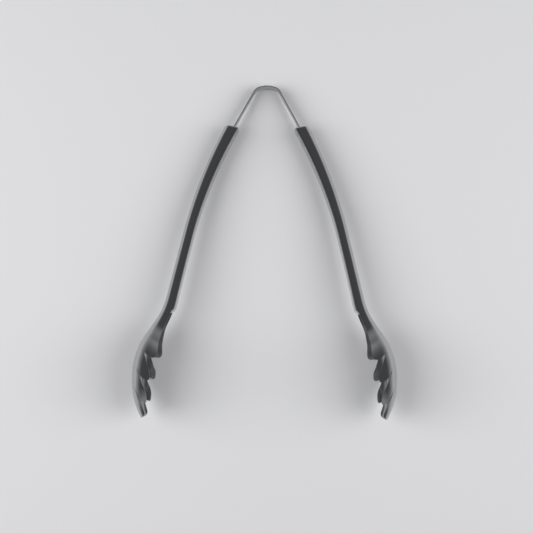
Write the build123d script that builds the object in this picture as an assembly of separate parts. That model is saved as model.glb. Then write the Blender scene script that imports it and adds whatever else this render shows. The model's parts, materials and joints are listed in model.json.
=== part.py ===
from build123d import *
from math import cos, degrees, radians, sin
import os

# Sprung serving tongs in stainless steel, lying on one side, in millimetres.
# X is the way the arms open, +Y runs from the toothed heads to the spring, +Z is up.
# Everything is modelled level, with the tongs' own middle plane at Z = 0, and is then tipped about X
# until the spring end of the handles and the lower teeth both touch the surface at Z = 0.

# ---- driving dimensions ----
sheet = 1.2                  # wall of each arm's stamping
cover_sheet = 0.9            # wall of the strip that closes the handle
cover_rise = 1.9             # how far that strip stands in from the stamping's rims
fit_gap = 0.15               # between pieces that are fitted together
joint_gap = 0.3              # around the spring where it enters a handle
arm_sections = 30            # evenly spaced cross sections that the stamping is drawn through
cover_sections = 16          # the same for the strip that closes the handle
flat_half_width = 9.44       # the handle's two sides are pressed flat at this height
flat_end_y = -18.0           # they stay flat from the spring end down to here

# the line of an arm's back, from the spring end to the tip: headings are degrees off -Y, outwards
back_start = (37.2, 126.0)
handle_heading = 27.6
handle_radius = 423.0
waist_heading = 13.7
waist_length = 60.0
neck_radius = 60.0
neck_heading = 33.5
shoulder_length = 16.5
crown_radius = 65.5          # back of the scoop, from the shoulder to its widest point
flat_length = 6.0
tip_radius = 65.0            # back of the scoop, from its widest point to the tip
tip_heading = -29.0

# spring band
band_width = 12.0
band_thickness = 1.0
band_top = 161.4             # Y of the band's middle line at the crown
band_crown_radius = 21.0
band_crown_turn = 22.0       # degrees each side of the middle
band_corner_radius = 7.0
band_leg_heading = 29.0      # degrees off -Y, outwards
band_leg_outside = 39.5      # from the corner to the handle's open end
band_leg_inside = 19.5       # from there to the leg's end
swing_y = 152.5              # the arms swing about this line, inside the band's bend

# spring seat, clamp and rivets inside each handle
cap_thickness = 1.2
seat_start = 3.0             # along the handle from its open end
seat_end = 25.0
clamp_thickness = 1.8
rivet_radius = 1.5
rivet_head_radius = 2.6
rivet_head_height = 0.6
rivet_depth = 2.2            # length of shank that sits in the seat
block_reach = 30.0           # size of the blocks that the seat and clamp are cut from
rivet_stations = (7.5, 14.5)  # along the leg, from the handle's open end

# teeth: the slots as seen along Z, each a mouth past the rim and a rounded root near the back
slot_root_radius = 0.8
tooth_round = 2.2
tip_reach = 8.0              # length of the half ellipse that rounds the tip
tip_half_width = 15.0

tilt = 4.53                  # degrees about X: the fall from the wide heads to the slim handles


# ---- the back line ----
def back_segments():
    """(length, heading at the start, heading at the end) of each run of the back line."""
    def arc(radius, start, end):
        return (radius * radians(abs(end - start)), start, end)
    return [
        arc(handle_radius, handle_heading, waist_heading),
        (waist_length, waist_heading, waist_heading),
        arc(neck_radius, waist_heading, neck_heading),
        (shoulder_length, neck_heading, neck_heading),
        arc(crown_radius, neck_heading, 0.0),
        (flat_length, 0.0, 0.0),
        arc(tip_radius, 0.0, tip_heading),
    ]


def back_length():
    return sum(length for length, _, _ in back_segments())


def back_point(distance):
    """Point and heading of the back line at a distance from the spring end."""
    x, y = back_start
    for length, start, end in back_segments():
        run = min(distance, length)
        turn = radians(end - start) * run / length
        heading = radians(start)
        # a chord of the arc: its direction is the mean heading, its length is shortened by the bend
        chord = run if abs(turn) < 1e-9 else run * sin(turn / 2) / (turn / 2)
        x += chord * sin(heading + turn / 2)
        y -= chord * cos(heading + turn / 2)
        distance -= run
        if distance <= 1e-9:
            return x, y, degrees(heading + turn)
    return x, y, tip_heading


def back_plane(distance):
    """Plane across the arm: its local X points in from the back, its local Y lies along Z."""
    x, y, heading = back_point(distance)
    angle = radians(heading)
    inward = Vector(-cos(angle), -sin(angle), 0)
    along = Vector(sin(angle), -cos(angle), 0)
    return Plane(origin=(x, y, 0), x_dir=inward, z_dir=along)


def run_start(index):
    """Distance from the spring end to the start of one run of the back line."""
    return sum(length for length, _, _ in back_segments()[:index])


# cross sections: distance along the back, half width, depth of the rounded back, depth of the rim
def arm_stations():
    neck = run_start(2)
    shoulder = run_start(3)
    scoop = run_start(4)
    end = back_length()
    return [
        (0.0, 9.5, 4.2, 10.5),
        (34.0, 9.5, 4.2, 9.5),
        (70.0, 9.5, 4.2, 8.6),
        (run_start(1), 9.5, 4.2, 8.0),
        (neck - 4.0, 9.5, 4.2, 8.3),
        (shoulder - 8.0, 9.8, 4.6, 9.2),
        (shoulder + 4.0, 12.4, 6.0, 10.6),
        (scoop - 3.0, 17.6, 9.2, 13.1),
        (scoop + 7.0, 22.6, 12.6, 16.4),
        (scoop + 18.0, 25.7, 15.5, 18.4),
        (scoop + 29.0, 26.8, 16.6, 18.8),
        (scoop + 39.0, 26.8, 16.2, 18.8),
        (scoop + 49.0, 25.2, 14.0, 17.4),
        (scoop + 58.0, 21.6, 11.0, 15.0),
        (end - 10.0, 16.4, 7.2, 10.2),
        (end, 12.5, 4.2, 6.6),
    ]


def channel_face(plane, half_width, crown, rim, wall):
    """U-shaped sheet section: half an ellipse across the back, then straight walls to the rim."""
    inner = half_width - wall
    outer_back = EllipticalCenterArc((crown, 0), crown, half_width, 90, arc_size=180)
    inner_back = EllipticalCenterArc((crown, 0), crown - wall, inner, 90, arc_size=180)
    edges = [
        outer_back,
        Line((crown, -half_width), (rim, -half_width)),
        Line((rim, -half_width), (rim, -inner)),
        Line((rim, -inner), (crown, -inner)),
        inner_back,
        Line((crown, inner), (rim, inner)),
        Line((rim, inner), (rim, half_width)),
        Line((rim, half_width), (crown, half_width)),
    ]
    return plane * make_face(edges)


def cavity_face(plane, half_width, crown, rim, wall):
    """D-shaped section of the space inside the channel, up to its rim."""
    inner = half_width - wall
    edges = [
        EllipticalCenterArc((crown, 0), crown - wall, inner, 90, arc_size=180),
        Line((crown, -inner), (rim, -inner)),
        Line((rim, -inner), (rim, inner)),
        Line((rim, inner), (crown, inner)),
    ]
    return plane * make_face(edges)


def station_slope(stations, index, column):
    """Change of one column with distance at a station, from the stations on both sides of it."""
    before = stations[max(index - 1, 0)]
    after = stations[min(index + 1, len(stations) - 1)]
    return (after[column] - before[column]) / (after[0] - before[0])


def station_at(distance):
    """Half width, back depth and rim depth at any distance, on cubics that pass through the stations."""
    stations = arm_stations()
    index = max(i for i in range(len(stations) - 1) if stations[i][0] <= distance)
    near, far = stations[index], stations[index + 1]
    span = far[0] - near[0]
    t = (distance - near[0]) / span
    values = []
    for column in (1, 2, 3):
        start_slope = station_slope(stations, index, column) * span
        end_slope = station_slope(stations, index + 1, column) * span
        rise = far[column] - near[column]
        bend = start_slope + end_slope - 2 * rise
        values.append(near[column] + t * (start_slope + t * (3 * rise - 2 * start_slope - end_slope + t * bend)))
    return values


# ---- the arm ----
# slots seen along Z, on the +X arm: root, lower edge of the tooth above, upper edge of the tooth below
def slot_outlines():
    mouth = 80.0
    return [
        [(104.6, -74.6), (100.4, -80.4), (96.0, -81.6), (mouth, -81.6), (mouth, -95.0), (98.4, -95.0)],
        [(110.3, -89.6), (104.8, -99.2), (98.6, -100.7), (mouth, -100.7), (mouth, -113.6), (101.6, -113.6)],
        [(112.5, -105.2), (106.8, -118.2), (102.6, -119.9), (mouth, -119.9), (mouth, -131.0), (105.0, -131.0)],
    ]


def slot_tool(outline):
    slot = make_face(Polyline(*outline, close=True))
    corners = slot.vertices().sort_by(Axis.X)
    slot = fillet(corners[-1], slot_root_radius)
    lips = slot.vertices().filter_by(lambda v: 94 < v.X < 106.5 and abs(v.Y - outline[1][1]) < 2.5)
    slot = fillet(lips, tooth_round)
    return extrude(slot, amount=40, both=True)


def tip_rounding():
    """Everything past a half ellipse drawn round the tip, seen along X."""
    x, y, _ = back_point(back_length())
    plane = Plane(origin=(x, y + tip_reach, 0), x_dir=(0, 1, 0), z_dir=(1, 0, 0))
    margin = 10
    past_tip = Rectangle(tip_reach + margin, 6 * tip_half_width, align=(Align.MAX, Align.CENTER))
    outside = plane * (past_tip - Ellipse(tip_reach, tip_half_width))
    return extrude(outside, amount=2 * tip_half_width, both=True)


def side_flats():
    """What lies outside the flat sides of the handle."""
    length = back_start[1] + 10 - flat_end_y
    block = Box(4 * length, length, 4, align=(Align.CENTER, Align.MIN, Align.MIN))
    above = Pos(0, flat_end_y, flat_half_width) * block
    return above + mirror(above, Plane.XY)


def make_arm():
    """One stamping: a channel handle that opens out into a toothed scoop."""
    faces = []
    for step in range(arm_sections + 1):
        distance = back_length() * step / arm_sections
        half_width, crown, rim = station_at(distance)
        faces.append(channel_face(back_plane(distance), half_width, crown, rim, sheet))
    arm = loft(faces)
    for outline in slot_outlines():
        arm -= slot_tool(outline)
    return arm - tip_rounding() - side_flats()


# ---- pieces that close the handle ----
def cover_length():
    return run_start(3) - 2.0


def make_cover():
    """Shallow strip that closes the channel from the spring end to the neck, with a toe that closes its end."""
    faces = []
    for step in range(cover_sections + 1):
        distance = cover_length() * step / cover_sections
        half_width, _, rim = station_at(distance)
        plane = back_plane(distance)
        flipped = Plane(
            origin=plane.from_local_coords((rim + fit_gap + cover_rise, 0, 0)),
            x_dir=-plane.x_dir,
            z_dir=plane.z_dir,
        )
        faces.append(channel_face(flipped, half_width, cover_rise - 0.2, cover_rise, cover_sheet))
    strip = loft(faces)
    half_width, crown, rim = station_at(cover_length())
    toe_wall = sheet + fit_gap
    toe_face = cavity_face(back_plane(cover_length()), half_width, crown, rim + cover_rise / 2, toe_wall)
    return strip + extrude(toe_face, amount=-cover_sheet)


def make_end_cap():
    """Plate set in the open end of the handle, with a slot for the spring."""
    half_width, crown, rim = station_at(0)
    face = cavity_face(back_plane(0), half_width, crown, rim, sheet + fit_gap)
    plate = extrude(face, amount=cap_thickness)
    half_slot = band_thickness / 2 + joint_gap
    return plate - beside_leg(-half_slot, half_slot, band_width + 2 * joint_gap)


# ---- the spring band ----
def leg_start():
    crown = radians(band_crown_turn)
    leg = radians(90 - band_leg_heading)
    x = band_crown_radius * sin(crown) + band_corner_radius * (sin(leg) - sin(crown))
    drop = band_crown_radius * (1 - cos(crown)) + band_corner_radius * (cos(crown) - cos(leg))
    return x, band_top - drop


def leg_plane():
    """Plane at the top of the right leg: local X runs down the leg, local Z points away from the middle."""
    x, y = leg_start()
    angle = radians(band_leg_heading)
    along = Vector(sin(angle), -cos(angle), 0)
    outward = Vector(cos(angle), sin(angle), 0)
    return Plane(origin=(x, y, 0), x_dir=along, z_dir=outward)


def leg_length():
    return band_leg_outside + band_leg_inside


def beside_leg(low, high, width):
    """Block along the right leg, between two heights over the leg's middle plane."""
    block = Box(leg_length() + 20, width, high - low, align=(Align.MIN, Align.CENTER, Align.MIN))
    return leg_plane() * (Pos(0, 0, low) * block)


def rivet_pins(radius, low, high):
    pin = Cylinder(radius, high - low, align=(Align.CENTER, Align.CENTER, Align.MIN))
    pins = [Pos(band_leg_outside + station, 0, low) * pin for station in rivet_stations]
    return leg_plane() * Compound(children=pins)


def band_side(offset_out):
    """Right half of the band's outline, moved out from its middle line by a signed offset."""
    turn = band_crown_turn
    leg_turn = 90 - band_leg_heading
    crown_centre = Vector(0, band_top - band_crown_radius, 0)
    to_corner = Vector(sin(radians(turn)), cos(radians(turn)), 0)
    corner_centre = crown_centre + to_corner * (band_crown_radius - band_corner_radius)
    crown = CenterArc(crown_centre, band_crown_radius + offset_out, 90 - turn, turn)
    corner = CenterArc(corner_centre, band_corner_radius + offset_out, 90 - leg_turn, leg_turn - turn)
    plane = leg_plane()
    leg = Line(
        plane.from_local_coords((0, 0, offset_out)),
        plane.from_local_coords((leg_length(), 0, offset_out)),
    )
    return [crown, corner, leg]


def make_band():
    """Bent strip: a flat crown arc, two tighter corners and two straight legs with rivet holes."""
    plane = leg_plane()
    half = band_thickness / 2
    end = Line(
        plane.from_local_coords((leg_length(), 0, half)),
        plane.from_local_coords((leg_length(), 0, -half)),
    )
    middle = Line((0, band_top - half), (0, band_top + half))
    side = make_face([*band_side(half), *band_side(-half), end, middle])
    strip = extrude(side, amount=band_width / 2, both=True)
    strip -= rivet_pins(rivet_radius + joint_gap, -band_thickness, band_thickness)
    return strip + mirror(strip, Plane.YZ)


# ---- what holds the spring inside each handle ----
def inner_block():
    distances = [seat_start + (seat_end - seat_start) * i / 3 for i in range(4)]
    faces = []
    for distance in distances:
        half_width, crown, rim = station_at(distance)
        faces.append(cavity_face(back_plane(distance), half_width, crown, rim, sheet + fit_gap))
    return loft(faces)


def leg_face():
    """Height over the leg's middle plane at which the seat and the clamp start."""
    return band_thickness / 2 + fit_gap


def make_spring_seat():
    """Block between the leg and the back of the handle."""
    seat = inner_block() & beside_leg(leg_face(), leg_face() + block_reach, block_reach)
    return seat - rivet_pins(rivet_radius, 0, leg_face() + rivet_depth)


def make_clamp_plate():
    """Plate on the other side of the leg."""
    plate = inner_block() & beside_leg(-leg_face() - clamp_thickness, -leg_face(), block_reach)
    return plate - rivet_pins(rivet_radius, -leg_face() - clamp_thickness, 0)


def make_rivets():
    """Rivets through the clamp and the leg into the seat, with their heads on the clamp."""
    clamp_face = -leg_face() - clamp_thickness
    shanks = rivet_pins(rivet_radius, clamp_face, leg_face() + rivet_depth)
    heads = rivet_pins(rivet_head_radius, clamp_face - rivet_head_height, clamp_face)
    return Compound([shank + head for shank, head in zip(shanks.solids(), heads.solids())])


# ---- assembly ----
def main():
    right = {
        "arm": make_arm(),
        "cover": make_cover(),
        "end_cap": make_end_cap(),
        "spring_seat": make_spring_seat(),
        "clamp_plate": make_clamp_plate(),
        "rivets": make_rivets(),
    }
    nodes = {"spring_band": make_band()}
    for name, shape in right.items():
        nodes["right_" + name] = shape
        nodes["left_" + name] = mirror(shape, Plane.YZ)

    boxes = [(Rot(-tilt, 0, 0) * shape).bounding_box() for shape in nodes.values()]
    near_end = min(box.min.Y for box in boxes)
    far_end = max(box.max.Y for box in boxes)
    lowest = min(box.min.Z for box in boxes)
    placing = Pos(0, -(near_end + far_end) / 2, -lowest) * Rot(-tilt, 0, 0)

    os.makedirs("parts", exist_ok=True)
    for name, shape in nodes.items():
        export_step(placing * shape, "parts/" + name + ".step")

    swing = placing * Pos(0, swing_y, 0)
    print("length", far_end - near_end)
    print("swing line through", swing.position, "along", (0, sin(radians(tilt)), cos(radians(tilt))))


main()
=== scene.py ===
import json
import math
import bmesh
import bpy
import numpy as np
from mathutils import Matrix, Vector


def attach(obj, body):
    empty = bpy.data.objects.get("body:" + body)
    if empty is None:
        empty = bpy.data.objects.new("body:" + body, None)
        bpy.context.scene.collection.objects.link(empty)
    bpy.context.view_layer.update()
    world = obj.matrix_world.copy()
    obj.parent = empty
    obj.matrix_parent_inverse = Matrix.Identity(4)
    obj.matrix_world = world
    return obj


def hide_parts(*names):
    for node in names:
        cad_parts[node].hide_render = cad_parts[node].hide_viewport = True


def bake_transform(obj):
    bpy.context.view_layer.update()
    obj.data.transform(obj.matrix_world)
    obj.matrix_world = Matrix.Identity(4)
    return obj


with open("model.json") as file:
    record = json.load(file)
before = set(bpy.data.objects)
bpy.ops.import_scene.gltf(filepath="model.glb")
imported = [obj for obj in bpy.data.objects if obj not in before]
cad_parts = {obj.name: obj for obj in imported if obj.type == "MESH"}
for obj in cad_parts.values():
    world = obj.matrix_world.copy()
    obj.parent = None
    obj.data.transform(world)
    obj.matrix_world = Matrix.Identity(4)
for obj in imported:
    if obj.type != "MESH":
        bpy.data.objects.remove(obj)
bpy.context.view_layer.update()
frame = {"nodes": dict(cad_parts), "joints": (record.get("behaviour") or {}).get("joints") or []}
print("frame loaded with", len(frame["nodes"]), "CAD nodes")

# Sizes below are millimetres in the tongs' own frame: X across from the middle, Y towards the spring,
# Z square to the middle plane. The swing joint says where that frame lies and how far it is tipped.
swingJoint = frame["joints"][0]
tongs = {
    "swingY": 152.5,          # the swing line's place along the tongs
    "sheet": 1.2,             # wall of the arms
    "coverSheet": 0.9,
    "fitGap": 0.15,
    "weld": 0.01,             # points closer than this are one
    "edgeRound": 0.22,        # radius left on every cut edge by tumbling
    "edgeAngle": 40.0,        # degrees; sharper edges than this are rounded
}


def toFrame(points):
    # row = swing point + X across + (Y - swingY) along + Z square, with along = square x across
    square = np.array(swingJoint["axis"], float)
    across = np.array((1.0, 0.0, 0.0))
    basis = np.stack((across, np.cross(square, across), square))
    offset = points - np.array((0.0, tongs["swingY"], 0.0))
    return np.array(swingJoint["pos_m"], float) + offset @ basis / 1000


# Meshes from arrays
def gridFaces(rows, columns, first=0, closed=False):
    # quad (r, c), (r, c + 1), (r + 1, c + 1), (r + 1, c) for every cell; closed joins the last column to
    # the first
    r, c = np.meshgrid(np.arange(rows - 1), np.arange(columns if closed else columns - 1), indexing="ij")
    c2 = (c + 1) % columns
    quads = np.stack((r * columns + c, r * columns + c2, (r + 1) * columns + c2, (r + 1) * columns + c), -1)
    return quads.reshape(-1, 4) + first


def makePiece(name, points, faces, uvs=None):
    # points in the row frame's metres; a sheet also gives one uv pair for each point, in metres, and is welded
    mesh = bpy.data.meshes.new(name)
    mesh.from_pydata(points.tolist(), [], [list(map(int, f)) for f in faces])
    if uvs is not None:
        layer = mesh.uv_layers.new(name="sheetUv")
        corners = np.zeros(len(mesh.loops), np.int32)
        mesh.loops.foreach_get("vertex_index", corners)
        layer.data.foreach_set("uv", uvs[corners].astype(np.float32).ravel())
        work = bmesh.new()
        work.from_mesh(mesh)
        bmesh.ops.remove_doubles(work, verts=work.verts, dist=tongs["weld"] / 1000)
        work.to_mesh(mesh)
        work.free()
    mesh.validate()
    piece = bpy.data.objects.new(name, mesh)
    bpy.context.scene.collection.objects.link(piece)
    mesh.polygons.foreach_set("use_smooth", np.ones(len(mesh.polygons), bool))
    return piece


def smoothStep(value, low, high):
    # 0 below low and 1 above high, with 3 t^2 - 2 t^3 between them
    t = np.clip((value - low) / (high - low), 0, 1)
    return t * t * (3 - 2 * t)


# The line of an arm's back
backLine = {
    "start": (37.2, 126.0),
    # each run: length, or radius where it bends, then its headings in degrees off -Y, outwards
    "handleBend": (423.0, 27.6, 13.7),
    "waist": 60.0,
    "neckBend": (60.0, 13.7, 33.5),
    "shoulder": 16.5,
    "scoopBend": (65.5, 33.5, 0.0),
    "flat": 6.0,
    "tipBend": (65.0, 0.0, -29.0),
}


def backRuns():
    # (length, start heading, end heading) of every run; a bend is radius * turn long
    def bend(key):
        radius, start, end = backLine[key]
        return (radius * math.radians(abs(end - start)), start, end)

    waist = backLine["handleBend"][2]
    shoulder = backLine["neckBend"][2]
    flat = backLine["scoopBend"][2]
    return [
        bend("handleBend"),
        (backLine["waist"], waist, waist),
        bend("neckBend"),
        (backLine["shoulder"], shoulder, shoulder),
        bend("scoopBend"),
        (backLine["flat"], flat, flat),
        bend("tipBend"),
    ]


def runStart(index):
    # distance along the back to where a run starts
    return sum(run[0] for run in backRuns()[:index])


backLength = runStart(7)


def backPoint(distance):
    # each run adds a chord: run * sinc(turn / 2) long, in the mean direction of the run's headings
    distance = np.asarray(distance, float)
    x = np.full(distance.shape, backLine["start"][0])
    y = np.full(distance.shape, backLine["start"][1])
    heading = np.full(distance.shape, math.radians(backLine["handleBend"][1]))
    left = distance.copy()
    for index, (length, start, end) in enumerate(backRuns()):
        # the first run also carries on past the line's start
        run = np.clip(left, 0 if index else -length, length)
        turn = math.radians(end - start) * run / length
        mean = math.radians(start) + turn / 2
        chord = run * np.sinc(turn / 2 / np.pi)
        x = x + chord * np.sin(mean)
        y = y - chord * np.cos(mean)
        heading = heading + turn
        left = left - run
    return x, y, heading


# The stamping's cross sections
def armStations():
    # columns: distance along the back, half width, depth of the rounded back, depth of the rim, power of
    # its curve
    neck = runStart(2)
    shoulder = runStart(3)
    scoop = runStart(4)
    return np.array([
        (0.0, 9.44, 4.2, 10.5, 2.0),
        (34.0, 9.44, 4.2, 9.5, 2.0),
        (70.0, 9.44, 4.2, 8.6, 2.0),
        (runStart(1), 9.44, 4.2, 8.0, 2.0),
        (neck - 4.0, 9.44, 4.2, 8.3, 2.0),
        (shoulder - 8.0, 9.8, 4.6, 9.2, 2.0),
        (shoulder + 4.0, 12.4, 6.0, 10.6, 2.1),
        (scoop - 3.0, 17.6, 9.2, 13.1, 2.5),
        (scoop + 7.0, 22.6, 12.6, 16.4, 2.9),
        (scoop + 18.0, 25.7, 15.5, 18.4, 3.0),
        (scoop + 29.0, 26.8, 16.6, 18.8, 3.0),
        (scoop + 39.0, 26.8, 16.2, 18.8, 3.0),
        (scoop + 49.0, 25.2, 14.0, 17.4, 3.0),
        (scoop + 58.0, 21.6, 11.0, 15.0, 2.9),
        (backLength - 10.0, 16.4, 7.2, 10.2, 2.6),
        (backLength, 12.5, 4.2, 6.6, 2.4),
    ])


def hermite(t, low, high, startSlope, endSlope):
    # cubic from low to high over t = 0 to 1 that leaves and arrives with the given slopes
    rise = high - low
    bend = 3 * rise - 2 * startSlope - endSlope
    return low + t * (startSlope + t * (bend + t * (startSlope + endSlope - 2 * rise)))


def sectionAt(distance):
    # cubics through the stations, with slopes taken from the stations on both sides
    table = armStations()
    where = table[:, 0]
    index = np.clip(np.searchsorted(where, distance, side="right") - 1, 0, len(where) - 2)
    before = np.maximum(np.arange(len(where)) - 1, 0)
    after = np.minimum(np.arange(len(where)) + 1, len(where) - 1)
    slopes = (table[after] - table[before]) / (where[after] - where[before])[:, None]
    span = (where[index + 1] - where[index])[..., None]
    t = np.clip(distance[..., None] - where[index][..., None], 0, None) / span
    values = hermite(t, table[index], table[index + 1], slopes[index] * span, slopes[index + 1] * span)
    return values[..., 1], values[..., 2], values[..., 3], values[..., 4]


sheetForm = {
    "wallPerTurn": 12.0,      # depth of straight wall for each radian of the cross parameter past the back
    "endRound": 1.5,          # radius that the handle's open end is rolled in by
    "endSlant": 0.27,         # mm further up for each mm of depth
    "slantReach": 30.0,       # the slant has died away this far along
    "developed": 34.0,        # about the half width of the flat sheet at the scoop, for even cells
    "endRows": 6,             # rows round the rolled-in end
    "handleRows": 90,
    "throatRows": 44,
}
blankScale = np.array((1.0, sheetForm["developed"]))


def rimTurn(crown, rim):
    # the cross parameter at the rim: a quarter turn, then the wall's depth over the depth per radian
    return math.pi / 2 + (rim - crown) / sheetForm["wallPerTurn"]


def endInset(distance):
    # quarter circle: the section shrinks by r - sqrt(r^2 - (r - s)^2) within r of the open end
    r = sheetForm["endRound"]
    short = np.clip(r - distance, 0, r)
    return r - np.sqrt(r * r - short * short)


def placeAcross(distance, depth, height):
    # from distance along the back, depth in from it and height over the middle plane to X, Y, Z; the open
    # end is cut aslant, so the deeper the point, the further up it starts
    cut = sheetForm["endSlant"] * depth * (1 - smoothStep(distance, 0, sheetForm["slantReach"]))
    x, y, heading = backPoint(distance - cut)
    return np.stack((x - depth * np.cos(heading), y - depth * np.sin(heading), height + 0 * x), -1)


def armSurface(distance, share):
    # share 0 is the back line and 1 the rim. Up to a quarter turn: depth = crown (1 - cos(t) / around) and
    # height = half width sin(t) / around, with around = (cos(t)^power + sin(t)^power)^(1/power); then a
    # straight wall
    halfWidth, crown, rim, power = sectionAt(distance)
    t = share * rimTurn(crown, rim)
    turn = np.clip(t, 0, math.pi / 2)
    inset = endInset(distance)
    wall = np.maximum(t - math.pi / 2, 0) * sheetForm["wallPerTurn"]
    inward = np.maximum(np.cos(turn), 0)
    around = (inward ** power + np.sin(turn) ** power) ** (1 / power)
    inward = inward / around
    depth = crown * (1 - inward) + wall + inset * inward
    height = (halfWidth - inset) * np.sin(turn) / around
    return placeAcross(distance, depth, height)


def sideToBlank(outline):
    # nearest place on the back line gives the distance; the depth there gives the share of the way to the rim
    along = np.linspace(0, backLength + teeth["searchPast"], teeth["searchSteps"])
    x, y, _ = backPoint(along)
    outline = np.asarray(outline, float)
    away = (outline[:, None, 0] - x) ** 2 + (outline[:, None, 1] - y) ** 2
    nearest = away.argmin(1)
    distance = along[nearest]
    depth = np.sqrt(away[np.arange(len(outline)), nearest])
    _, crown, rim, power = sectionAt(distance)
    inward = np.clip(1 - depth / crown, 0, 1)
    rounded = np.arctan2((1 - inward ** power) ** (1 / power), inward)
    wall = math.pi / 2 + (depth - crown) / sheetForm["wallPerTurn"]
    t = np.where(depth < crown, rounded, wall)
    return np.stack((distance, t / rimTurn(crown, rim)), -1)


# The teeth
# Edges are seen along Z, on the +X arm. Each slot has a root, then the lower edge of the tooth above it
# and the upper edge of the tooth below it.
teeth = {
    "roots": [(104.6, -74.6), (110.3, -89.6), (112.5, -105.2)],
    "lowerEdges": [
        [(102.7, -77.6), (99.8, -80.3), (96.6, -81.4), (94.2, -81.0), (92.9, -79.6), (92.5, -77.6)],
        [(107.4, -95.0), (104.6, -99.2), (101.4, -100.7)],
        [(109.4, -112.6), (106.6, -118.6), (103.2, -120.4)],
    ],
    "upperEdges": [
        [(102.3, -83.0), (99.2, -92.0)],
        [(106.0, -102.2), (102.0, -111.4)],
        [(109.6, -113.6), (106.9, -121.0), (104.8, -126.2), (103.8, -129.2)],
    ],
    "endReach": 3.6,          # how far a tooth's rounded end reaches past its edges
    "endSquareness": 2.4,     # 2 rounds it like a circle, more makes it blunter
    "rowEvenness": 0.35,      # 0 crowds a tooth's rows at its edges, 1 spaces them evenly
    "rootColumns": (22, 18, 14),  # of the columns, those inside each slot's root
    "columns": 40,
    "toothRows": 27,
    "lean": 5.0,              # how far up the back each slot's line starts
    "tipRows": 40,
    "tipSquareness": 4.5,
    "tipCorner": 52.0,        # degrees round the tip at which its end row meets its side edge
    "tipSamples": 9,
    "searchPast": 4.0,        # mm past the back line's end that an edge point may lie at
    "searchSteps": 6000,
}


def alongCurve(points, count):
    # cubic through the points, sampled evenly by chord length
    points = np.asarray(points, float)
    chord = np.concatenate(([0], np.cumsum(np.linalg.norm(np.diff(points, axis=0), axis=1))))
    slope = np.gradient(points, chord, axis=0)
    where = np.linspace(0, chord[-1], count)
    index = np.clip(np.searchsorted(chord, where, side="right") - 1, 0, len(points) - 2)
    span = (chord[index + 1] - chord[index])[:, None]
    t = ((where - chord[index])[:, None]) / span
    return hermite(t, points[index], points[index + 1], slope[index] * span, slope[index + 1] * span)


def slotLines(index):
    # two rows of the sheet: both run from the back line to the slot's root, then each along its own edge
    root = sideToBlank([teeth["roots"][index]])[0]
    start = np.array((root[0] - teeth["lean"], 0.0))
    inner = teeth["rootColumns"][index]
    shared = start + (root - start) * np.linspace(0, 1, inner + 1)[:, None]
    rows = []
    for edge in (teeth["lowerEdges"][index], teeth["upperEdges"][index]):
        outer = sideToBlank(edge)
        free = alongCurve(np.vstack((root, outer)) * blankScale, teeth["columns"] - inner + 1) / blankScale
        rows.append(np.vstack((shared, free[1:])))
    return rows


def slideAlong(line, push):
    # each point moves on along its own line by push, and the line runs on straight past its end
    flat = line * blankScale
    onward = flat[-1] - flat[-2]
    flat = np.vstack((flat, flat[-1] + onward / np.linalg.norm(onward) * 2 * teeth["endReach"]))
    lengths = np.concatenate(([0.0], np.cumsum(np.linalg.norm(np.diff(flat, axis=0), axis=1))))
    wanted = lengths[:-1] + push
    return np.stack([np.interp(wanted, lengths, flat[:, i]) for i in (0, 1)], -1) / blankScale


def toothPatch(upper, lower, inner):
    # rows go from one edge to the other; their free ends slide on by a blunt half ellipse
    even = np.linspace(0, 1, teeth["toothRows"])
    close = (1 - np.cos(math.pi * even)) / 2
    u = (close + teeth["rowEvenness"] * (even - close))[:, None, None]
    power = teeth["endSquareness"]
    bulge = (1 - np.abs(2 * u - 1) ** power) ** (1 / power)
    patch = upper[None] * (1 - u) + lower[None] * u
    weight = smoothStep(np.arange(len(upper)), inner, len(upper) - 1) * teeth["endReach"]
    return np.stack([slideAlong(row, push * weight) for row, push in zip(patch, bulge[:, 0, 0])])


def betweenCurves(top, bottom, left, right):
    # bilinear blend of four edge curves: rows blend plus columns blend, less the blend of the four corners
    u = np.linspace(0, 1, len(left))[:, None, None]
    v = np.linspace(0, 1, len(top))[None, :, None]
    rows = top[None] * (1 - u) + bottom[None] * u
    columns = left[:, None] * (1 - v) + right[:, None] * v
    corners = (top[0] * (1 - u) + bottom[0] * u) * (1 - v) + (top[-1] * (1 - u) + bottom[-1] * u) * v
    return rows + columns - corners


def tipPatch(upper, inner):
    # the last tooth is whole: back line, side edge, and a blunt quarter ellipse that both of them run into,
    # distance = middle + reach cos(t)^p, share = width sin(t)^p
    corner = sideToBlank(teeth["upperEdges"][2])
    middle, width = corner[-1]
    reach = np.array((backLength - middle, width))
    power = 2 / teeth["tipSquareness"]
    turn = np.linspace(0, 1, inner + 1) * math.radians(teeth["tipCorner"])
    rest = np.linspace(math.pi / 2, turn[-1], teeth["tipSamples"])
    directions = [np.maximum(np.stack((np.cos(t), np.sin(t)), -1), 0) for t in (turn, rest)]
    end, around = ((middle, 0.0) + reach * direction ** power for direction in directions)
    side = np.vstack((upper[inner], corner[:-1], around))
    side = alongCurve(side * blankScale, teeth["tipRows"]) / blankScale
    back = np.stack((np.linspace(upper[0, 0], backLength, teeth["tipRows"]), np.zeros(teeth["tipRows"])), -1)
    return betweenCurves(upper[: inner + 1], end, back, side)


def rowsFromEnd(end, count):
    # distances from the handle's open end: 1 - cos(t) spacing round the rolled-in edge, then even
    endRound = sheetForm["endRound"]
    rolled = endRound * (1 - np.cos(np.linspace(0, math.pi / 2, sheetForm["endRows"])))
    return np.concatenate((rolled[:-1], np.linspace(endRound, end, count)))


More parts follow.
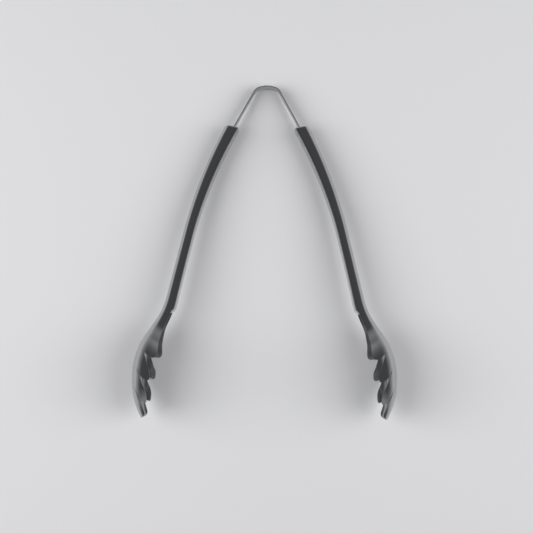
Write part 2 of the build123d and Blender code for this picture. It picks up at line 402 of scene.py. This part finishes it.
def armPatches():
    # half of the flat sheet, as grids of (distance, share)
    lines = [slotLines(i) for i in range(3)]
    inner = teeth["rootColumns"]
    straight = np.linspace(0, 1, teeth["columns"] + 1)
    handleRows = rowsFromEnd(runStart(3), sheetForm["handleRows"])
    handle = np.stack(np.meshgrid(handleRows, straight, indexing="ij"), -1)
    u = np.linspace(0, 1, sheetForm["throatRows"])[:, None, None]
    throat = handle[-1][None] * (1 - u) + lines[0][0][None] * u
    second = toothPatch(lines[0][1], lines[1][0], inner[0])
    third = toothPatch(lines[1][1], lines[2][0], inner[1])
    return [handle, throat, second, third, tipPatch(lines[2][1], inner[2])]


def sheetPiece(name, side, patches, surface, uvWidth, outward):
    # every patch once on each side of the middle plane; outward is 1 where rows and columns run so that the
    # faces look out of the tongs, and -1 where they have to be turned over
    points, faces, uvs, first = [], [], [], 0
    for half in (1, -1):
        for patch in patches:
            rows, columns = patch.shape[:2]
            placed = surface(patch[..., 0], patch[..., 1]) * np.array((side, 1.0, half))
            points.append(toFrame(placed.reshape(-1, 3)))
            uvs.append(np.stack((patch[..., 0], half * patch[..., 1] * uvWidth), -1).reshape(-1, 2) / 1000)
            quads = gridFaces(rows, columns, first)
            faces.append(quads if side * half * outward > 0 else quads[:, ::-1])
            first += rows * columns
    fullName = ("right" if side > 0 else "left") + name
    return makePiece(fullName, np.vstack(points), np.vstack(faces), np.vstack(uvs))


def finishSheet(piece, wall, body, node):
    # the surface is the outer face, so the wall goes inwards; then the cut edges are rounded
    solid = piece.modifiers.new("sheet", "SOLIDIFY")
    solid.thickness = wall / 1000
    solid.offset = -1
    # the rim faces take the second material, the edge steel with its painted shade
    solid.material_offset_rim = 1
    edge = piece.modifiers.new("softEdge", "BEVEL")
    edge.width = tongs["edgeRound"] / 1000
    edge.segments = 2
    edge.limit_method = "ANGLE"
    edge.angle_limit = math.radians(tongs["edgeAngle"])
    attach(piece, body)
    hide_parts(node)
    return piece


def buildArm(side, body):
    # the whole stamping: handle, throat, two teeth and the tip
    arm = sheetPiece("ArmStamping", side, armPatches(), armSurface, sheetForm["developed"], 1)
    return finishSheet(arm, tongs["sheet"], body, body)


# Materials
def hexColour(text):
    # sRGB hex to linear: ((c + 0.055) / 1.055) ^ 2.4, or c / 12.92 when dark
    c = np.array([int(text[i:i + 2], 16) / 255 for i in (1, 3, 5)])
    linear = np.where(c <= 0.04045, c / 12.92, ((c + 0.055) / 1.055) ** 2.4)
    return (*linear.tolist(), 1.0)


def addNode(tree, kind, settings=None, **links):
    # settings go on the node or its sockets; links are socket name = (node, output name)
    node = tree.nodes.new(kind)
    for key, value in (settings or {}).items():
        if key in node.inputs:
            node.inputs[key].default_value = value
        else:
            setattr(node, key, value)
    for key, (source, output) in links.items():
        socket = node.inputs[key.replace("_", " ")]
        tree.links.new(source.outputs[output], socket)
    return node


def newMaterial(name):
    # an empty node tree under a new name
    material = bpy.data.materials.new(name)
    material.use_nodes = True
    tree = material.node_tree
    tree.nodes.clear()
    return material, tree


steel = {
    "colour": "#b9babc",
    "roughness": (0.16, 0.24),
    "brushGap": 0.45,          # mm between brush lines; real ones are about 0.05, too fine to show
    "brushLength": 14.0,
    "smudge": 16.0,            # mm across a handled patch
    "smudgeShare": 0.6,        # of the roughness's pattern; the brush lines give the rest
    "patternRange": (0.3, 0.7),
    "bump": 0.12,
    "bumpDepth": 0.04,
}


def finishMaterial(tree, colour, rough, bump):
    # metal of one colour, with the roughness and the bump worked out before
    metal = {"Base Color": hexColour(colour), "Metallic": 1.0}
    finish = {"Roughness": (rough, "Result"), "Normal": (bump, "Normal")}
    shader = addNode(tree, "ShaderNodeBsdfPrincipled", metal, **finish)
    addNode(tree, "ShaderNodeOutputMaterial", Surface=(shader, "BSDF"))


def polishedSteel():
    # Stainless 18/10 sheet, pressed and belt polished: mirror-like across, with fine lines along the handle
    # that stretch each highlight, and duller patches where it is held.
    material, tree = newMaterial("beltPolishedStainless")
    uv = addNode(tree, "ShaderNodeUVMap", {"uv_map": "sheetUv"})
    stretch = (1000 / steel["brushLength"], 1000 / steel["brushGap"], 1)
    lines = addNode(tree, "ShaderNodeMapping", {"Scale": stretch}, Vector=(uv, "UV"))
    lineNoise = {"Scale": 1.0, "Detail": 3.0, "Roughness": 0.6}
    brush = addNode(tree, "ShaderNodeTexNoise", lineNoise, Vector=(lines, "Vector"))
    place = addNode(tree, "ShaderNodeTexCoord")
    patchNoise = {"Scale": 1000 / steel["smudge"], "Detail": 2.0}
    smudge = addNode(tree, "ShaderNodeTexNoise", patchNoise, Vector=(place, "Object"))
    share = {"Factor": steel["smudgeShare"]}
    mixed = addNode(tree, "ShaderNodeMix", share, A=(brush, "Fac"), B=(smudge, "Fac"))
    span = (*steel["patternRange"], *steel["roughness"])
    toRoughness = dict(zip(("From Min", "From Max", "To Min", "To Max"), span))
    rough = addNode(tree, "ShaderNodeMapRange", toRoughness, Value=(mixed, "Result"))
    relief = {"Strength": steel["bump"], "Distance": steel["bumpDepth"] / 1000}
    bump = addNode(tree, "ShaderNodeBump", relief, Height=(brush, "Fac"))
    finishMaterial(tree, steel["colour"], rough, bump)
    return material


# The cut edge of the same sheet: blanked, then tumbled, so it is duller and reads as a light thin line. Its
# colour is painted shade: darker than the arms' steel, so the edges mirror less light.
cutEdge = {
    "name": "tumbledEdgePaintedShade",
    # painted shade: darker than the polished steel, so the rims mirror less of the room
    "colour": "#8d8e90",
    "roughness": (0.34, 0.5),
    "grainsPerMm": 1.4,
    "detail": 3.0,
    "bump": 0.2,
    "bumpDepth": 0.03,
}

# Cold rolled strip as it comes from the mill: a faint grain, duller than the polished arms.
springStrip = {
    "name": "coldRolledSpringStrip",
    "colour": "#c4c5c6",
    "roughness": (0.24, 0.36),
    "grainsPerMm": 0.9,
    "detail": 4.0,
    "bump": 0.1,
    "bumpDepth": 0.03,
}

# Plate that nobody polished, for what sits inside the handles: grey and soft in its highlights.
millPlate = {
    **springStrip,
    "name": "millFinishPlate",
    "colour": "#b4b5b6",
    "roughness": (0.36, 0.48),
}


def grainySteel(form):
    # one fine noise gives both the roughness and the bump
    material, tree = newMaterial(form["name"])
    place = addNode(tree, "ShaderNodeTexCoord")
    fine = {"Scale": 1000 * form["grainsPerMm"], "Detail": form["detail"]}
    grain = addNode(tree, "ShaderNodeTexNoise", fine, Vector=(place, "Object"))
    low, high = form["roughness"]
    rough = addNode(tree, "ShaderNodeMapRange", {"To Min": low, "To Max": high}, Value=(grain, "Fac"))
    relief = {"Strength": form["bump"], "Distance": form["bumpDepth"] / 1000}
    bump = addNode(tree, "ShaderNodeBump", relief, Height=(grain, "Fac"))
    finishMaterial(tree, form["colour"], rough, bump)
    return material


# The strip that closes each handle
coverForm = {
    "rise": 1.9,              # past the stamping's rims
    "corner": 1.7,
    "toeStart": 12.0,         # the end starts to dip this far short of the strip's end
    "toeShort": 2.0,          # the strip ends this far short of the shoulder
    "toeGap": 0.2,            # between its lowest point and the arm's inner face
    "toeNarrow": 0.97,        # 1 would let the toe run to a point
    "developed": 11.0,        # half width of the flat strip
    "rows": 110,
    "edgeShare": 0.72,        # flat up to here, with fewer columns
    "flatColumns": 10,
    "edgeColumns": 14,
}


def coverEnd():
    # distance along the back to the strip's end
    return runStart(3) - coverForm["toeShort"]


def coverSurface(distance, share):
    # across: a flat, then a quarter circle, then a short wall, by arc length. Towards its end the strip dips
    # to the channel's floor, and narrows with the channel: inner half width * sqrt(1 - depth share^2)
    halfWidth, crown, rim, _ = sectionAt(distance)
    dip = smoothStep(distance, coverEnd() - coverForm["toeStart"], coverEnd())
    inset = endInset(distance)
    floor = tongs["sheet"] + tongs["coverSheet"] + coverForm["toeGap"]
    top = (rim + tongs["fitGap"] + coverForm["rise"]) * (1 - dip) + floor * dip - inset
    under = top - tongs["coverSheet"]
    shareDeep = np.clip(1 - (under - tongs["sheet"]) / (crown - tongs["sheet"]), 0, coverForm["toeNarrow"])
    innerWidth = (halfWidth - tongs["sheet"] - tongs["fitGap"]) * np.sqrt(1 - shareDeep ** 2)
    inside = smoothStep(top, rim + coverForm["rise"] * 0.9, rim - 0.4 * coverForm["rise"])
    width = (halfWidth - inset) * (1 - inside) + innerWidth * inside
    corner = np.minimum(coverForm["corner"], width * 0.9) * (1 - 0.9 * inside)
    wall = (coverForm["rise"] - coverForm["corner"]) * (1 - inside)
    length = (width - corner) + corner * math.pi / 2 + wall
    run = share * length
    flat = np.minimum(run, width - corner)
    turn = np.clip((run - (width - corner)) / corner, 0, math.pi / 2)
    down = np.maximum(run - (width - corner) - corner * math.pi / 2, 0)
    depth = top - corner * (1 - np.cos(turn)) - down
    return placeAcross(distance, depth, flat + corner * np.sin(turn))


def buildCover(side, body):
    # the strip that closes the handle, with its columns crowded where it turns over
    flat = np.linspace(0, coverForm["edgeShare"], coverForm["flatColumns"])
    shares = np.concatenate((flat[:-1], np.linspace(coverForm["edgeShare"], 1, coverForm["edgeColumns"])))
    patch = np.stack(np.meshgrid(rowsFromEnd(coverEnd(), coverForm["rows"]), shares, indexing="ij"), -1)
    cover = sheetPiece("HandleCover", side, [patch], coverSurface, coverForm["developed"], -1)
    return finishSheet(cover, tongs["coverSheet"], body, body.replace("arm", "cover"))


# The spring band
band = {
    "width": 12.0,
    "thickness": 1.0,
    "top": 161.4,
    "crownRadius": 21.0,
    "crownTurn": 22.0,
    "cornerRadius": 7.0,
    "legHeading": 29.0,
    "legLength": 59.0,
    "edgeRound": 0.3,
    "bendEnd": 14.0,          # mm out from the middle
    "cornerPoints": 5,
    "middleRows": (0.0, 0.03),  # distances of the first rows, where the two halves meet
    "arcStart": 0.4,
    "arcRows": 40,
    "legRows": 40,
    "smoothAngle": 50.0,
}


def bandLine(distance):
    # heading from +X down: it grows along the crown arc, faster along the corner arc, then stays along the leg
    crownTurn, legTurn = math.radians(band["crownTurn"]), math.radians(90 - band["legHeading"])
    crown = band["crownRadius"] * crownTurn
    corner = band["cornerRadius"] * (legTurn - crownTurn)
    a = np.minimum(distance, crown) / band["crownRadius"]
    b = np.clip(distance - crown, 0, corner) / band["cornerRadius"]
    straight = np.maximum(distance - crown - corner, 0)
    heading = a + b
    x = band["crownRadius"] * np.sin(a) + band["cornerRadius"] * (np.sin(a + b) - np.sin(a))
    drop = band["crownRadius"] * (1 - np.cos(a)) + band["cornerRadius"] * (np.cos(a) - np.cos(a + b))
    return x + straight * np.cos(heading), band["top"] - drop - straight * np.sin(heading), heading


def bandSection():
    # rectangle with rounded corners: four quarter circles joined by straight sides
    half = np.array((band["thickness"], band["width"])) / 2 - band["edgeRound"]
    turn = np.linspace(0, math.pi / 2, band["cornerPoints"])
    arc = np.stack((np.cos(turn), np.sin(turn)), -1) * band["edgeRound"]
    back = arc[::-1]
    mirrorX, mirrorY = np.array((-1.0, 1.0)), np.array((1.0, -1.0))
    return np.vstack((half + arc, (half + back) * mirrorX, -half - arc, (half + back) * mirrorY))


def buildBand(side):
    # half of the band: its section carried along its line, closed at both ends
    bent = band["crownRadius"] * math.radians(band["crownTurn"])
    bent += band["cornerRadius"] * math.radians(90 - band["legHeading"] - band["crownTurn"])
    arc = np.linspace(band["arcStart"], bent, band["arcRows"])
    leg = np.linspace(bent, bent + band["legLength"], band["legRows"])
    rows = np.concatenate((band["middleRows"], arc, leg[1:]))
    x, y, heading = bandLine(rows)
    section = bandSection()
    out, high = section[:, 0][None], section[:, 1][None]
    px = x[:, None] + out * np.sin(heading)[:, None]
    py = y[:, None] + out * np.cos(heading)[:, None]
    points = np.stack((side * px, py, high + 0 * px), -1)
    count = len(section)
    faces = [list(f) for f in gridFaces(len(rows), count, closed=True)]
    faces += [list(range(count))[::-1], list(range((len(rows) - 1) * count, len(rows) * count))]
    faces = [f[::-1] if side > 0 else f for f in faces]
    name = ("right" if side > 0 else "left") + "SpringHalf"
    piece = makePiece(name, toFrame(points.reshape(-1, 3)), faces)
    piece.data.set_sharp_from_angle(angle=math.radians(band["smoothAngle"]))
    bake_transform(piece)
    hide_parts("spring_band")
    return piece


# Build
polished = polishedSteel()
edgeSteelPaintedShade = grainySteel(cutEdge)
springSteel = grainySteel(springStrip)
plateSteel = grainySteel(millPlate)

for side, body in ((1, "right_arm"), (-1, "left_arm")):
    arm = buildArm(side, body)
    cover = buildCover(side, body)
    for piece in (arm, cover):
        piece.data.materials.append(polished)
        # second material: the rim steel, darkened as painted shade
        piece.data.materials.append(edgeSteelPaintedShade)
    half = buildBand(side)
    half.data.materials.append(springSteel)
    print("built", arm.name, len(arm.data.polygons), cover.name, len(cover.data.polygons), half.name)

for name, node in frame["nodes"].items():
    if not node.hide_render:
        node.data.materials.clear()
        node.data.materials.append(plateSteel)
print("CAD nodes finished")


# Floor, light and camera
studio = {
    "floor": "#dcdcde",
    "floorRoughness": 0.6,
    "floorSize": 6.0,
    "lightSize": 0.9,
    "lightStretch": 1.6,       # length over width
    "lightDistance": 1.5,
    "lightHeight": 45.0,       # degrees over the floor
    "leftPower": 16.5,
    "rightPower": 14.2,
    "zenith": 0.095,
    "horizon": 0.6,
    "darkFrom": 0.75,          # sine of the height from which the ceiling is at its darkest
}


def buildFloor():
    # a plain pale sheet under the tongs
    half = studio["floorSize"] / 2
    corners = np.array([(-half, -half, 0), (half, -half, 0), (half, half, 0), (-half, half, 0)], float)
    floor = makePiece("tableTop", corners, [(0, 1, 2, 3)])
    material, tree = newMaterial("paleLaminate")
    matt = {"Base Color": hexColour(studio["floor"]), "Roughness": studio["floorRoughness"]}
    shader = addNode(tree, "ShaderNodeBsdfPrincipled", matt)
    addNode(tree, "ShaderNodeOutputMaterial", Surface=(shader, "BSDF"))
    floor.data.materials.append(material)


def softLight(name, side, power):
    # a softbox at one side, aimed at the middle, that the steel doesn't mirror
    lamp = bpy.data.lights.new(name, "AREA")
    lamp.shape = "RECTANGLE"
    lamp.size = studio["lightSize"]
    lamp.size_y = studio["lightSize"] * studio["lightStretch"]
    lamp.energy = power
    angle = math.radians(studio["lightHeight"])
    holder = bpy.data.objects.new(name, lamp)
    reach = studio["lightDistance"]
    holder.location = (side * reach * math.cos(angle), 0, reach * math.sin(angle))
    holder.rotation_euler = (-holder.location).to_track_quat("-Z", "Y").to_euler()
    holder.visible_glossy = False
    bpy.context.scene.collection.objects.link(holder)


def dimRoom():
    # pale near the horizon, dark overhead: upward faces mirror the dark ceiling
    world = bpy.data.worlds.new("dimRoom")
    bpy.context.scene.world = world
    world.use_nodes = True
    tree = world.node_tree
    tree.nodes.clear()
    ray = addNode(tree, "ShaderNodeTexCoord")
    parts = addNode(tree, "ShaderNodeSeparateXYZ", Vector=(ray, "Generated"))
    fade = {"From Max": studio["darkFrom"], "To Min": studio["horizon"], "To Max": studio["zenith"]}
    level = addNode(tree, "ShaderNodeMapRange", fade, Value=(parts, "Z"))
    glow = addNode(tree, "ShaderNodeBackground", Strength=(level, "Result"))
    glow.inputs["Color"].default_value = hexColour("#ffffff")
    addNode(tree, "ShaderNodeOutputWorld", Surface=(glow, "Background"))


view = {
    "overMiddle": 1.003,       # camera height over the tongs' middle plane, metres
    "aim": (0.9, 0.0),         # place on the middle plane under the camera, tongs' millimetres
    "lens": 76.3,
    "sensor": 36.0,
    "roll": 0.55,              # degrees
}


def buildCamera():
    # looks straight down
    data = bpy.data.cameras.new("overhead")
    data.lens = view["lens"]
    data.sensor_width = view["sensor"]
    camera = bpy.data.objects.new("overhead", data)
    aim = toFrame(np.array((*view["aim"], 0.0)))
    camera.location = Vector(aim) + Vector((0, 0, view["overMiddle"]))
    camera.rotation_euler = (0, 0, math.radians(view["roll"]))
    bpy.context.scene.collection.objects.link(camera)
    bpy.context.scene.camera = camera


bpy.context.scene.view_settings.view_transform = "Standard"
buildFloor()
softLight("leftSoftbox", -1, studio["leftPower"])
softLight("rightSoftbox", 1, studio["rightPower"])
dimRoom()
buildCamera()
print("stage ready")
